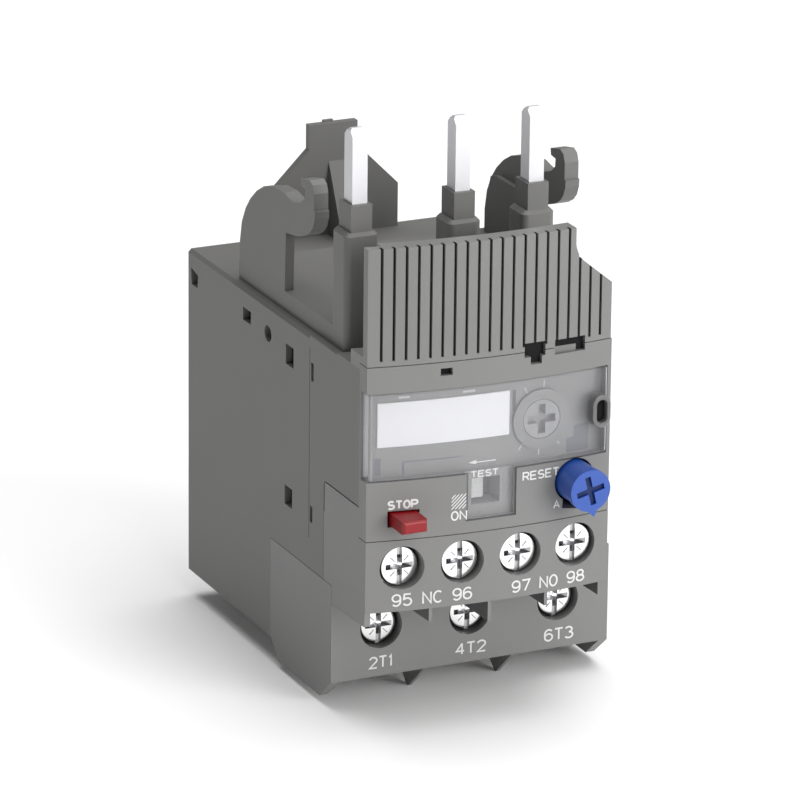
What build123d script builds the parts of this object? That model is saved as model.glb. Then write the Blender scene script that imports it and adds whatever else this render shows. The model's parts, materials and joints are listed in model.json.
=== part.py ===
from math import cos, pi, sin, sqrt
import os

from build123d import *

os.makedirs("parts", exist_ok=True)

# Positions are written as x from the left side, d in front of the rear face and
# h above the case floor; fx, fy and fz turn them into the part's frame, whose origin
# is the centre of the bounding box's bottom.
case_width = 45.0
foot_drop = 4.1               # divider tips below the case floor
case_top = 51.44
step_width = case_width - 6.9  # front block, flush with the left side
front_radius = 106.5          # cylindrical front, vertical axis
body_seam = 44.9              # depth where side panels end and the front housing begins
face_seam = body_seam + 17.5  # depth where the control panel begins
front_mid = face_seam + 4.87  # depth of the front at mid width
overall_depth = front_mid + 4.83  # to the reset knob's front
skin = 1.1                    # clip-on side panels
wall = 1.6
thin_wall = 1.2
fit = 0.25                    # gap round moving controls
static_fit = 0.1              # gap round fixed inserts
seam = 0.12                   # shadow gap between front mouldings
slack = 0.3                   # gap between parts of the mechanism

block_back = body_seam - 13.7  # terminal block
block_front = body_seam + 8.3
block_top = 15.6
block_lip = 0.45              # lower edge of its front face
pole_margin = 8.0             # outer pole axes from the left side and from the right
main_x = (pole_margin, (case_width - 0.3) / 2, case_width - pole_margin - 0.3)
pole_edges = ((main_x[0] + main_x[1]) / 2, (main_x[1] + main_x[2]) / 2)
main_h = 8.1
main_recess_r = 3.35
screw_depth = 1.0             # head faces behind the front
main_head_r = 3.1
main_face = block_front - screw_depth

aux_back = body_seam + 5.4    # auxiliary terminal block
aux_bottom = 15.7
aux_top = 26.26
aux_under = 15.4              # underside of its overhang
aux_first = 5.35
aux_pitch = (step_width - 5.55 - aux_first) / 3
aux_x = tuple(aux_first + aux_pitch * place for place in range(4))
aux_h = 22.0
aux_recess_r = 3.3
aux_head_r = 3.05

cover_low = 35.52
cover_high = 48.36
cover_thick = 1.1
recess_inset = 2.0            # floor of the cover's recess behind the front
recess_end = step_width - 0.6
panel_top = 52.57
grille_top = 70.15
grille_thick = 1.45
grille_flange = 2.9           # depth of its thicker top edge
slot_count = 20
slot_first = 1.98
slot_width = 0.42

pin_x = (main_x[0] - 4.1, main_x[1] - 2.25, main_x[2] - 4.85)
pin_d = body_seam + 7.0
pin_size = (2.35, 2.8)
pin_top = 84.2
platform_top = 54.4
boot_size = 5.2
boot_top = 69.2
collar_size = (3.3, 4.2)
collar_top = 73.2

dial_x = step_width - 10.8
dial_h = 41.6
dial_r = 2.9
dial_ring_r = 4.5
knob_x = step_width - 5.9
knob_h = 32.0
knob_r = 3.0
stop_x = (3.5, 7.4)
stop_h = (28.6, 30.55)
stop_face = front_mid + 2.75
window_x = (16.2, 20.6)
window_h = (30.1, 34.1)

inner_x = (skin + thin_wall, case_width - skin - thin_wall)
strip_x = tuple(x - 1.0 for x in main_x)
strip_d = (block_back - 11.2, block_back - 5.2)
strip_thick = 0.9
pivot_h = case_top - 5.14     # where the bimetal strips are held
strip_h = (15.5, pivot_h + 1.7)
winding_h = (20.5, pivot_h - 3.3)
slide_h = (17.0, 18.5)
slide_d = (strip_d[0] - 3.0, strip_d[1] + 2.9)
lever_x = aux_x[1] + 4.48
lever_h = 28.5
carrier_d = (aux_back - 2.1, aux_back - 0.9)
lever_d = (carrier_d[0] - 2.0, carrier_d[0] - 0.4)
lever_pin_r = 0.8


def fx(x):
    return x - case_width / 2


def fy(d):
    return overall_depth / 2 - d


def fz(h):
    return h + foot_drop


def front_at(x, inset=0.0):
    reach = (front_radius - inset) ** 2 - (x - case_width / 2) ** 2
    return front_mid - front_radius + sqrt(reach)


def slab(x, d, h, mode=Mode.ADD):
    # Box between pairs of x, depth and height.
    with BuildSketch(Plane.XY.offset(fz(h[0]))) as foot:
        with Locations((fx((x[0] + x[1]) / 2), fy((d[0] + d[1]) / 2))):
            Rectangle(x[1] - x[0], d[1] - d[0])
    extrude(foot.sketch, amount=h[1] - h[0], mode=mode)


def arc_point(x, inset):
    return (fx(x), fy(front_at(x, inset)))


def curved(x, back, inset, h, mode=Mode.ADD):
    # Block with a flat back and a front that follows the case's curve.
    middle = (x[0] + x[1]) / 2
    left = arc_point(x[0], inset)
    right = arc_point(x[1], inset)
    with BuildSketch(Plane.XY.offset(fz(h[0]))) as plan:
        with BuildLine():
            ThreePointArc(left, arc_point(middle, inset), right)
            Polyline(right, (right[0], fy(back)), (left[0], fy(back)), left)
        make_face()
    extrude(plan.sketch, amount=h[1] - h[0], mode=mode)


def curved_plate(x, insets, h, mode=Mode.ADD):
    # Plate between two faces that both follow the curve.
    middle = (x[0] + x[1]) / 2
    with BuildSketch(Plane.XY.offset(fz(h[0]))) as plan:
        with BuildLine():
            for inset in insets:
                ThreePointArc(arc_point(x[0], inset), arc_point(middle, inset), arc_point(x[1], inset))
            for side in x:
                Line(arc_point(side, insets[0]), arc_point(side, insets[1]))
        make_face()
    extrude(plan.sketch, amount=h[1] - h[0], mode=mode)


def side_shape(points, x, mode=Mode.ADD):
    # Outline in depth and height, extruded across the width.
    with BuildSketch(Plane.YZ.offset(fx(x[0]))) as side:
        with BuildLine():
            Polyline(*[(fy(d), fz(h)) for d, h in points], close=True)
        make_face()
    extrude(side.sketch, amount=x[1] - x[0], mode=mode)


def front_shape(points, d, mode=Mode.ADD):
    # Outline in x and height, extruded forwards.
    with BuildSketch(Plane.XZ.offset(-fy(d[0]))) as face:
        with BuildLine():
            Polyline(*[(fx(x), fz(h)) for x, h in points], close=True)
        make_face()
    extrude(face.sketch, amount=d[1] - d[0], mode=mode)


def rod(x, h, r, d, mode=Mode.ADD):
    # Cylinder that runs from back to front.
    with BuildSketch(Plane.XZ.offset(-fy(d[0]))) as end:
        with Locations((fx(x), fz(h))):
            Circle(r)
    extrude(end.sketch, amount=d[1] - d[0], mode=mode)


def shaft(x, h, r, d, mode=Mode.ADD):
    # Slim shaft, or its bore, with flats that stay clear of each other as it turns.
    with BuildSketch(Plane.XZ.offset(-fy(d[0]))) as end:
        with Locations((fx(x), fz(h))):
            RegularPolygon(r, 12, major_radius=mode == Mode.ADD)
    extrude(end.sketch, amount=d[1] - d[0], mode=mode)


def side_hole(d, h, r, x, mode=Mode.SUBTRACT):
    # Cylinder that runs across the width.
    with BuildSketch(Plane.YZ.offset(fx(x[0]))) as end:
        with Locations((fy(d), fz(h))):
            Circle(r)
    extrude(end.sketch, amount=x[1] - x[0], mode=mode)


def post(x, d, h, size, corner, mode=Mode.ADD):
    # Upright block with rounded corners.
    with BuildSketch(Plane.XY.offset(fz(h[0]))) as foot:
        with Locations((fx(x), fy(d))):
            RectangleRounded(size[0], size[1], corner)
    extrude(foot.sketch, amount=h[1] - h[0], mode=mode)


def save(piece, name):
    piece.part.label = name
    export_step(piece.part, "parts/" + name + ".step")


# Housings
side_holes = (
    ((1.0, 48.8), (3.7, 48.2), (3.5, 46.2), (1.3, 46.2)),
    ((20.7, 48.5), (23.6, 48.5), (23.6, 46.5), (20.7, 46.5)),
    ((36.4, 47.6), (39.2, 47.6), (39.2, 44.5), (36.4, 44.5)),
    ((36.2, 25.7), (38.9, 25.7), (38.9, 22.7), (36.2, 22.7)),
)
side_slits = ((body_seam + 0.55, 46.1, 2.8), (body_seam + 0.4, 24.2, 2.5))
round_hole = (29.9, 47.1, 1.25)
slide_slot = (slide_h[0] - slack, slide_h[1] + slack)

carrier_block_d = (strip_d[0] - 2.0, strip_d[1] + 2.5)
carrier_block_h = (pivot_h - slack, case_top - wall)
with BuildPart() as rear_housing:
    slab((skin, case_width - skin), (0, body_seam), (0, case_top))
    slab(inner_x, (wall, body_seam), (wall, case_top - wall), Mode.SUBTRACT)
    for edge in pole_edges:
        slab((edge - thin_wall / 2, edge + thin_wall / 2), (wall, body_seam - 4), (wall, case_top - wall))
    slab((0, case_width), (block_back, body_seam), (0, block_top + static_fit), Mode.SUBTRACT)
    slab(inner_x, (slide_d[0] - slack, slide_d[1] + slack), slide_slot, Mode.SUBTRACT)
    slab(inner_x, (carrier_block_d[0] - slack, carrier_block_d[1] + slack), carrier_block_h, Mode.SUBTRACT)
    for outline in side_holes:
        side_shape(outline, (skin, inner_x[0]), Mode.SUBTRACT)
        side_shape(outline, (inner_x[1], case_width - skin), Mode.SUBTRACT)
save(rear_housing, "rear_housing")

panel_outline = (
    (0, 0),
    (0, case_top),
    (body_seam, case_top),
    (body_seam, block_top + static_fit),
    (block_back, block_top + static_fit),
    (block_back, 0),
)
for name, side in (("side_panel_left", (0, skin)), ("side_panel_right", (case_width - skin, case_width))):
    with BuildPart() as side_panel:
        side_shape(panel_outline, side)
        top_edges = side_panel.edges().filter_by(Axis.Y).group_by(Axis.Z)[-1].sort_by(Axis.X)
        outer_edge = top_edges[0] if side[0] == 0 else top_edges[-1]
        chamfer(outer_edge, length=0.5)
        for outline in side_holes:
            side_shape(outline, side, Mode.SUBTRACT)
        side_hole(round_hole[0], round_hole[1], round_hole[2], side)
    save(side_panel, name)

# The dividers below the block keep the wires of neighbouring poles apart.
foot_outline = (
    (block_back, block_top),
    (block_front, block_top),
    (block_front, block_lip),
    (block_front - 4.1, -2.9),
    (block_back + 3.1, -2.9),
    (block_back + 0.3, 0),
    (block_back, 0),
)
rib_outline = (
    (block_front - 10.7, 0.5),
    (block_front - 10.7, 0),
    (block_front - 5.8, -foot_drop),
    (block_front - 5.2, -foot_drop),
    (block_front, block_lip),
    (block_front, 1.0),
)
block_foot = 1.4
divider = 1.0
rib_thick = 0.5
bar_width = 4.0
bar_thick = 1.2
bar_h = main_h + 2.9
main_pockets = (
    (block_foot, pole_edges[0] - divider / 2),
    (pole_edges[0] + divider / 2, pole_edges[1] - divider / 2),
    (pole_edges[1] + divider / 2, case_width - block_foot),
)
pocket_d = (block_front - 12.2, block_front - 1.8)
pocket_top = bar_h + 2.2
with BuildPart() as terminal_block:
    slab((0, case_width), (block_back, block_front), (block_lip, block_top))
    slab((0, case_width), (block_back, pocket_d[0]), (0, block_lip))
    for left in (0, case_width - block_foot):
        side_shape(foot_outline, (left, left + block_foot))
    for edge in pole_edges:
        side_shape(rib_outline, (edge - rib_thick / 2, edge + rib_thick / 2))
    for pocket in main_pockets:
        slab(pocket, pocket_d, (-1, pocket_top), Mode.SUBTRACT)
    for x in main_x:
        rod(x, main_h, main_recess_r, (pocket_d[1] - 1, block_front), Mode.SUBTRACT)
        shaft(x, main_h, 2.2, (pocket_d[0] - 2.5, pocket_d[0]), Mode.SUBTRACT)
        slab(
            (x - bar_width / 2 - slack, x + bar_width / 2 + slack),
            (block_back, pocket_d[0]),
            (bar_h - slack, bar_h + bar_thick + slack),
            Mode.SUBTRACT,
        )
save(terminal_block, "terminal_block")

door_h = (20.3, 49.6)
cheek_h = 30.8
housing_top = case_top + 0.26
platform_front = pin_d + boot_size / 2
plate_d = (face_seam - 6.9, face_seam - 5.7)  # inner wall that guides the controls' stems
room = (skin + thin_wall, step_width - thin_wall)
room_floor = aux_top + static_fit
snap_x = lever_x - 6.9
spring_ledge = (40.0, 41.2)
with BuildPart() as front_housing:
    slab((0, step_width), (body_seam, face_seam), (room_floor, case_top))
    slab((0, step_width), (platform_front + static_fit, face_seam), (case_top, housing_top))
    slab((0, step_width), (body_seam, aux_back - static_fit), (block_top + static_fit, room_floor))
    slab(room, (body_seam, plate_d[0]), (room_floor + thin_wall, case_top - 1.0), Mode.SUBTRACT)
    slab(room, (plate_d[1], face_seam), (room_floor + thin_wall, case_top - 1.0), Mode.SUBTRACT)
    slab(room, (body_seam, aux_back - static_fit), (block_top, room_floor + thin_wall), Mode.SUBTRACT)
    slab((0, skin + 0.1), (body_seam, face_seam), door_h, Mode.SUBTRACT)
    slab((snap_x - 2.5, snap_x + 2.5), (carrier_d[0] - 0.9, plate_d[0]), spring_ledge)
    shaft(dial_x, dial_h, 1.6, plate_d, Mode.SUBTRACT)
    shaft(knob_x, knob_h, 1.5, plate_d, Mode.SUBTRACT)
    shaft(sum(stop_x) / 2, sum(stop_h) / 2, 1.0, plate_d, Mode.SUBTRACT)
    shaft(lever_x, lever_h, lever_pin_r, plate_d, Mode.SUBTRACT)
    slab((window_x[0] - 2.2, window_x[1] + 0.9), plate_d, (29.8, 36.0), Mode.SUBTRACT)
    for x in pin_x:
        slab(
            (x - pin_size[0] / 2 - static_fit, x + pin_size[0] / 2 + static_fit),
            (pin_d - pin_size[1] / 2 - static_fit, pin_d + pin_size[1] / 2 + static_fit),
            (case_top - 1.0, case_top),
            Mode.SUBTRACT,
        )
save(front_housing, "front_housing")

with BuildPart() as side_door:
    side_shape(
        (
            (body_seam + 0.15, door_h[1]),
            (face_seam, door_h[1]),
            (face_seam, cheek_h + 0.2),
            (aux_back + 0.3, cheek_h + 0.2),
            (aux_back - 0.1, cheek_h - 0.4),
            (aux_back - 0.1, door_h[0]),
            (body_seam + 0.15, door_h[0]),
        ),
        (0, skin),
    )
    for d, h, length in side_slits:
        slab((0, skin), (d, d + 0.9), (h - length / 2, h + length / 2), Mode.SUBTRACT)
save(side_door, "side_door_left")

rib_half = 0.25
rib_mids = [(left + right) / 2 - 0.15 for left, right in zip(aux_x, aux_x[1:])]
mid_ribs = [(mid - rib_half, mid + rib_half) for mid in rib_mids]
aux_ribs = ((0, 0.93), *mid_ribs, (step_width - 1.4, step_width - 0.2))
rib_drop = (2.1, 2.1, 3.1, 2.1, 2.1)  # front ends below the overhang
aux_pocket_back = aux_back + 4.2
aux_front_wall = 1.9
aux_strip = 1.5               # half width of the contact strips
aux_strip_h = (19.4, 19.4, 24.0, 24.0)
strip_gauge = 0.8
with BuildPart() as aux_block:
    curved((0, step_width), aux_back, 0, (aux_bottom, aux_top))
    curved((0, step_width), block_front + static_fit, 0, (aux_under, aux_bottom))
    for (left, right), drop in zip(aux_ribs, rib_drop):
        back = block_front + static_fit
        face = front_at(left, 0.2)
        low = aux_under - drop
        side_shape(((back, aux_under), (back, low - 0.55), (face, low), (face, aux_under)), (left, right))
    slab((0, skin), (aux_back + 0.2, face_seam), (aux_top, cheek_h))
    for left, right in zip(aux_ribs, aux_ribs[1:]):
        pocket_x = (max(left[1], 1.2) + 0.1, right[0] - 0.1)
        pocket_h = (aux_under - 3.0, aux_top - thin_wall)
        curved(pocket_x, aux_pocket_back, aux_front_wall, pocket_h, Mode.SUBTRACT)
    for x, h in zip(aux_x, aux_strip_h):
        rod(x, aux_h, aux_recess_r, (face_seam - 2.4, front_mid + 1), Mode.SUBTRACT)
        shaft(x, aux_h, 1.9, (aux_back + 1.7, aux_pocket_back), Mode.SUBTRACT)
        slab(
            (x - aux_strip - 0.2, x + aux_strip + 0.2),
            (aux_back, aux_pocket_back),
            (h - 0.2, h + strip_gauge + 0.2),
            Mode.SUBTRACT,
        )
save(aux_block, "aux_block")

# Control panel with the recess for the see-through cover and openings for the controls.
tab_x = (15.03, 22.4)
tab_low = 28.4
hinge_x = 0.9
hinge_d = face_seam + 1.85
hinge_pin_r = 0.3
hinge_pin_h = (cover_low - 2.0, cover_high + 2.1)
notch_t = ((dial_x - 3.7, dial_x - 0.35), (51.8, 53.95))
notch_stem = ((dial_x - 2.7, dial_x - 0.9), (50.65, 51.85))
notch_ledge = ((step_width - 9.6, step_width - 5.9), (51.6, panel_top + 1))
notch_tooth = ((step_width - 5.9, step_width - 4.6), (51.6, panel_top + 1))
notch_wide = ((step_width - 9.6, step_width - 4.6), (panel_top - 1, 53.8))
with BuildPart() as control_panel:
    curved((0, step_width), face_seam, 0, (aux_top + seam, panel_top))
    curved_plate((-1, recess_end), (-1, recess_inset), (cover_low - fit, cover_high + fit), Mode.SUBTRACT)
    curved_plate(
        (tab_x[0] - fit, tab_x[1] + fit), (-1, cover_thick + 0.15), (tab_low - fit, cover_low), Mode.SUBTRACT
    )
    rod(dial_x, dial_h, dial_ring_r, (face_seam, front_at(dial_x, cover_thick + 0.35)))
    rod(dial_x, dial_h, dial_r + 0.1, (face_seam - 1, front_mid), Mode.SUBTRACT)
    rod(knob_x, knob_h, knob_r + 0.3, (face_seam - 1, front_mid + 1), Mode.SUBTRACT)
    front_shape(
        (
            (knob_x - 1.9, knob_h - 2.4),
            (knob_x - 2.0, knob_h - 4.05),
            (knob_x + 0.65, knob_h - 4.5),
            (knob_x + 0.8, knob_h - 2.4),
        ),
        (face_seam - 1, front_mid),
        Mode.SUBTRACT,
    )
    stop_slot = (stop_x[0] - 0.4, stop_x[1] + 0.4)
    slab(stop_slot, (face_seam - 1, front_mid), (stop_h[0] - fit, stop_h[1] + fit), Mode.SUBTRACT)
    slab(window_x, (face_seam - 1, front_mid), window_h, Mode.SUBTRACT)
    slab(notch_ledge[0], (front_at(notch_ledge[0][0]) - 0.8, front_mid + 1), notch_ledge[1], Mode.SUBTRACT)
    for notch_x, notch_h in (notch_t, notch_stem, notch_tooth):
        slab(notch_x, (face_seam + 0.8, front_mid + 1), notch_h, Mode.SUBTRACT)
    slab((10.7, 12.5), (face_seam + 0.8, front_mid), (50.6, 51.7), Mode.SUBTRACT)
    for ends in ((hinge_pin_h[0], cover_low), (cover_high, hinge_pin_h[1])):
        with BuildSketch(Plane.XY.offset(fz(ends[0]))) as pin_hole:
            with Locations((fx(hinge_x), fy(hinge_d))):
                Circle(hinge_pin_r)
        extrude(pin_hole.sketch, amount=ends[1] - ends[0], mode=Mode.SUBTRACT)
save(control_panel, "control_panel")

# Finned guard in front of the pins; its right shoulder steps down in a curve and a slope.
grille_right = step_width - 0.2
shoulder_x = grille_right - 6.2
slot_pitch = (grille_right - 1.91 - slot_first) / (slot_count - 1)
with BuildPart() as grille_cover:
    curved_plate((0, grille_right), (0, grille_thick), (panel_top + seam, grille_top))
    curved_plate((0, grille_right), (grille_thick, 5.5), (housing_top, panel_top + 1.3))
    curved_plate((2.4, grille_right), (grille_thick, grille_flange), (grille_top - 1.2, grille_top))
    slab((0, grille_right), (face_seam, front_mid), (housing_top - 1, panel_top + seam), Mode.SUBTRACT)
    with BuildSketch(Plane.XZ.offset(-fy(face_seam - 7))) as shoulder:
        with BuildLine():
            arc_top = (fx(shoulder_x), fz(grille_top - 2.35))
            arc_end = (fx(shoulder_x + 1.3), fz(grille_top - 5.05))
            corner = (fx(shoulder_x), fz(grille_top + 1))
            Line(corner, arc_top)
            ThreePointArc(arc_top, (fx(shoulder_x + 0.3), fz(grille_top - 3.55)), arc_end)
            Polyline(
                arc_end,
                (fx(grille_right), fz(grille_top - 9.05)),
                (fx(grille_right + 1), fz(grille_top - 9.05)),
                (fx(grille_right + 1), fz(grille_top + 1)),
                corner,
            )
        make_face()
    extrude(shoulder.sketch, amount=20, mode=Mode.SUBTRACT)
    for index in range(slot_count):
        x = slot_first + slot_pitch * index
        slab(
            (x - slot_width / 2, x + slot_width / 2),
            (front_at(x) - 1.0, front_mid + 1),
            (panel_top + 0.85, grille_top + 1),
            Mode.SUBTRACT,
        )
    for notch_x, notch_h in (notch_t, notch_wide):
        slab(notch_x, (face_seam + 0.8, front_mid + 1), notch_h, Mode.SUBTRACT)
save(grille_cover, "grille_cover")

# Platform on top with the two hooks that hang the relay in the contactor.
# Hook outlines are depth and rise above the platform's underside.
platform_inset = 1.3
hook_back = (
    (16.5, 1.6),
    (16.5, 6.0),
    (17.2, 9.1),
    (18.6, 11.6),
    (20.4, 13.6),
    (22.7, 15.4),
    (25.3, 16.8),
    (28.6, 17.7),
    (32.5, 17.9),
    (34.6, 17.5),
    (36.0, 17.3),
    (38.6, 18.1),
    (40.0, 19.2),
)
hook_tongue = (
    (40.1, 20.4),
    (38.6, 20.6),
    (38.4, 21.6),
    (41.6, 22.3),
    (42.7, 21.8),
    (43.2, 20.6),
    (43.2, 18.1),
    (43.6, 18.0),
    (43.5, 16.9),
    (42.9, 15.5),
    (41.8, 14.4),
    (40.1, 13.5),
)
hook_throat = ((37.4, 12.6), (33.3, 12.0))
hook_foot = ((32.9, 1.6),)
hook_leg = 1.4
hook_head = 2.25
hook_layer = ((18.1, 1.6), (18.6, 8.1), (20.2, 12.3), (22.0, 12.8), (33.4, 12.8), (32.9, 1.6))


def hook(parts, x):
    points = [(d, case_top + rise) for part in parts for d, rise in part]
    side_shape(points, x)


with BuildPart() as top_cover:
    left = platform_inset
    right = case_width - platform_inset
    slab((left, right), (16.3, body_seam), (case_top, platform_top))
    slab((left, step_width - platform_inset), (body_seam, platform_front), (case_top, platform_top))
    slab((left + wall, right - wall), (18, body_seam - 1.5), (case_top, platform_top - 1.5), Mode.SUBTRACT)
    hook((hook_back, hook_tongue, hook_throat, hook_foot), (left, left + hook_leg))
    hook((((28.6, 12.4), (28.6, 17.7)), hook_back[8:], hook_tongue, hook_throat), (left, left + hook_head))
    hook((hook_back, hook_tongue, hook_throat, hook_foot), (right - hook_head, right))
    hook((hook_layer,), (right - hook_head - 0.85, right - hook_head))
    for x in pin_x:
        post(x, pin_d, (case_top, platform_top), (boot_size, boot_size), 1.0, Mode.SUBTRACT)
    slab((left - 1, pin_x[0]), (pin_d, platform_front + 1), (case_top, platform_top), Mode.SUBTRACT)
save(top_cover, "top_cover")

latch_x = case_width / 2 + 0.55
latch_d = (0.5, 1.75)
latch_half = 10.85
neck_half = 4.0
latch_rise = 17.56
shoulder_rise = 6.86
with BuildPart() as latch_plate:
    neck_h = case_top + shoulder_rise + latch_half - neck_half
    front_shape(
        (
            (latch_x - latch_half, case_top),
            (latch_x - latch_half, case_top + shoulder_rise),
            (latch_x - neck_half, neck_h),
            (latch_x - neck_half, case_top + latch_rise),
            (latch_x + neck_half, case_top + latch_rise),
            (latch_x + neck_half, neck_h),
            (latch_x + latch_half, case_top + shoulder_rise),
            (latch_x + latch_half, case_top),
        ),
        latch_d,
    )
    slab(
        (latch_x - 1.35, latch_x + 0.25),
        (latch_d[0], latch_d[0] + 0.5),
        (case_top + latch_rise, case_top + latch_rise + 0.35),
    )
    gusset = ((latch_d[1], case_top), (latch_d[1], case_top + 11.6), (latch_d[1] + 5.6, case_top))
    side_shape(gusset, (latch_x - 0.75, latch_x + 2.65))
save(latch_plate, "latch_plate")

# Main current paths: contact pin, sleeve, heater and bimetal, terminal bar, clamp, screw.
foot_h = (pivot_h + 0.2, pivot_h + 1.7)
foot_d = (carrier_block_d[1] + 1.1, carrier_block_d[1] + 3.1)
for index, x in enumerate(pin_x):
    half = pin_size[0] / 2
    d_front = pin_d + pin_size[1] / 2
    d_back = pin_d - pin_size[1] / 2
    reach = strip_x[index] + 1.5
    with BuildPart() as contact_pin:
        slab((x - half, x + half), (d_back, d_front), (foot_h[0], pin_top))
        tip_edges = contact_pin.edges().filter_by(Axis.X).group_by(Axis.Z)[-1]
        chamfer(tip_edges, length=1.1)
        side_edges = contact_pin.edges().filter_by(Axis.Y).group_by(Axis.Z)[-1]
        chamfer(side_edges, length=0.35)
        slab((x - half, x + half), (foot_d[0], d_back), foot_h)
        slab((x - half, reach), foot_d, foot_h)
    save(contact_pin, "contact_pin_" + str(index + 1))

    with BuildPart() as pin_sleeve:
        post(x, pin_d, (case_top, boot_top), (boot_size, boot_size), 1.0)
        chamfer(pin_sleeve.edges().group_by(Axis.Z)[-1], length=0.5)
        slab(
            (x - collar_size[0] / 2, x + collar_size[0] / 2),
            (pin_d - collar_size[1] / 2, pin_d + collar_size[1] / 2),
            (boot_top - 0.5, collar_top),
        )
        slab(
            (x - half - static_fit, x + half + static_fit),
            (d_back - static_fit, d_front + static_fit),
            (case_top, collar_top),
            Mode.SUBTRACT,
        )
    save(pin_sleeve, "pin_sleeve_" + str(index + 1))


def screw(x, h, face, head_r, head_thick, shank_r, length):
    # Combination head with a cross recess; the face looks forwards.
    with BuildPart() as fastener:
        rod(x, h, head_r, (face - head_thick, face))
        shaft(x, h, shank_r, (face - length, face - head_thick))
        for long_x, long_h in ((2.1, 0.4), (0.4, 2.1)):
            slab((x - long_x, x + long_x), (face - 1.1, face), (h - long_h, h + long_h), Mode.SUBTRACT)
    return fastener


main_head = 2.0
main_screw_length = 9.9
main_shank_r = 1.9
main_wire_gap = 2.6
plate_gauge = 1.2
for index, x in enumerate(main_x):
    number = str(index + 1)
    under_head = main_face - main_head
    clamp_d = (under_head - 0.2 - plate_gauge, under_head - 0.2)
    tab_d = (clamp_d[0] - main_wire_gap - plate_gauge, clamp_d[0] - main_wire_gap)
    main_screw = screw(x, main_h, main_face, main_head_r, main_head, main_shank_r, main_screw_length)
    save(main_screw, "main_screw_" + number)

    with BuildPart() as main_clamp:
        slab((x - 3.6, x + 3.6), clamp_d, (main_h - 3.9, main_h + 3.7))
        slab((x - 3.6, x + 3.6), (clamp_d[0] - 0.5, clamp_d[0]), (main_h + 2.9, main_h + 3.7))
        shaft(x, main_h, main_shank_r + 0.15, (clamp_d[0] - 1, clamp_d[1]), Mode.SUBTRACT)
    save(main_clamp, "main_clamp_" + number)

    with BuildPart() as terminal_bar:
        riser = block_back - 1.8
        slab((x - 3.6, x + 3.6), tab_d, (main_h - 4.3, bar_h + bar_thick))
        slab((x - bar_width / 2, x + bar_width / 2), (riser, tab_d[0]), (bar_h, bar_h + bar_thick))
        slab((x - bar_width / 2, x + bar_width / 2), (riser, riser + bar_thick), (bar_h, pivot_h - 0.8))
        shaft(x, main_h, main_shank_r + 0.05, tab_d, Mode.SUBTRACT)
    save(terminal_bar, "terminal_bar_" + number)

for index, x in enumerate(strip_x):
    number = str(index + 1)
    half = strip_thick / 2
    with BuildPart() as bimetal:
        slab((x - half, x + half), strip_d, strip_h)
    save(bimetal, "bimetal_strip_" + number)

    # The heater is a flat winding round an insulating sleeve on the strip.
    with BuildPart() as heater:
        slab((x - half - 0.5, x + half + 0.5), (strip_d[0] - 0.5, strip_d[1] + 0.5), winding_h)
        for turn in range(8):
            low = winding_h[0] + 0.9 + 2.6 * turn
            slab((x - half - 1.1, x + half + 1.1), (strip_d[0] - 1.1, strip_d[1] + 1.1), (low, low + 1.3))
        slab((x - half, x + half), strip_d, winding_h, Mode.SUBTRACT)
    save(heater, "heater_winding_" + number)

with BuildPart() as bimetal_carrier:
    slab((inner_x[0] + slack, inner_x[1] - slack), carrier_block_d, carrier_block_h)
    for x in strip_x:
        slab(
            (x - strip_thick / 2 - slack, x + strip_thick / 2 + slack),
            (strip_d[0] - slack, strip_d[1] + slack),
            (carrier_block_h[0], strip_h[1] + slack),
            Mode.SUBTRACT,
        )
save(bimetal_carrier, "bimetal_carrier")

arm_x = (lever_x - 0.6 - slack - 1.0, lever_x - 0.6 - slack)
with BuildPart() as trip_slide:
    slab((inner_x[0] + 0.9, inner_x[1] - 2.7), slide_d, slide_h)
    for x in strip_x:
        slab(
            (x - strip_thick / 2 - slack, x + strip_thick / 2 + slack),
            (strip_d[0] - slack, strip_d[1] + slack),
            slide_h,
            Mode.SUBTRACT,
        )
    slab(arm_x, (slide_d[1], lever_d[1]), slide_h)
    slab(arm_x, lever_d, (slide_h[1], 20.2))
save(trip_slide, "trip_slide")

lever_arm = (lever_x - 0.6, lever_x + 0.6)
with BuildPart() as trip_lever:
    shaft(lever_x, lever_h, 1.9, lever_d)
    slab(lever_arm, lever_d, (18.9, lever_h))
    slab((lever_x, lever_x + 7.3), lever_d, (lever_h - 0.6, lever_h + 0.6))
    shaft(lever_x, lever_h, lever_pin_r + 0.05, lever_d, Mode.SUBTRACT)
save(trip_lever, "trip_lever")

with BuildPart() as lever_pin:
    shaft(lever_x, lever_h, lever_pin_r, (lever_d[0] - 0.4, plate_d[1]))
save(lever_pin, "lever_pin")

# Snap contacts: the carrier rises on a trip, opens one bridge and closes the other.
bridge_d = (carrier_d[0] - 1.8, carrier_d[0] - 0.2)
leg_closed = (aux_x[0] + 1.95, aux_x[0] + 3.95)
leg_open = (aux_x[3] - 4.15, aux_x[3] - 2.15)
catch_x = (lever_x + 5.1, lever_x + 7.3)
crossbar_h = (30.2, 31.8)
contact_lift = 1.4
contact_gap = 0.15
closed_h = aux_strip_h[0] + strip_gauge + contact_gap
open_h = aux_strip_h[2] - contact_gap - contact_lift - strip_gauge
with BuildPart() as contact_carrier:
    slab((leg_closed[0], leg_open[1]), carrier_d, crossbar_h)
    slab(leg_closed, carrier_d, (closed_h + strip_gauge, crossbar_h[0]))
    slab(leg_open, carrier_d, (open_h - 1.2, crossbar_h[0]))
    slab(leg_closed, (bridge_d[0], carrier_d[0]), (closed_h + strip_gauge, closed_h + 2.0))
    slab(leg_open, (bridge_d[0], carrier_d[0]), (open_h - 1.2, open_h))
    slab(catch_x, (lever_d[0], carrier_d[1]), (lever_h + 1.0, crossbar_h[0]))
save(contact_carrier, "contact_carrier")

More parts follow.
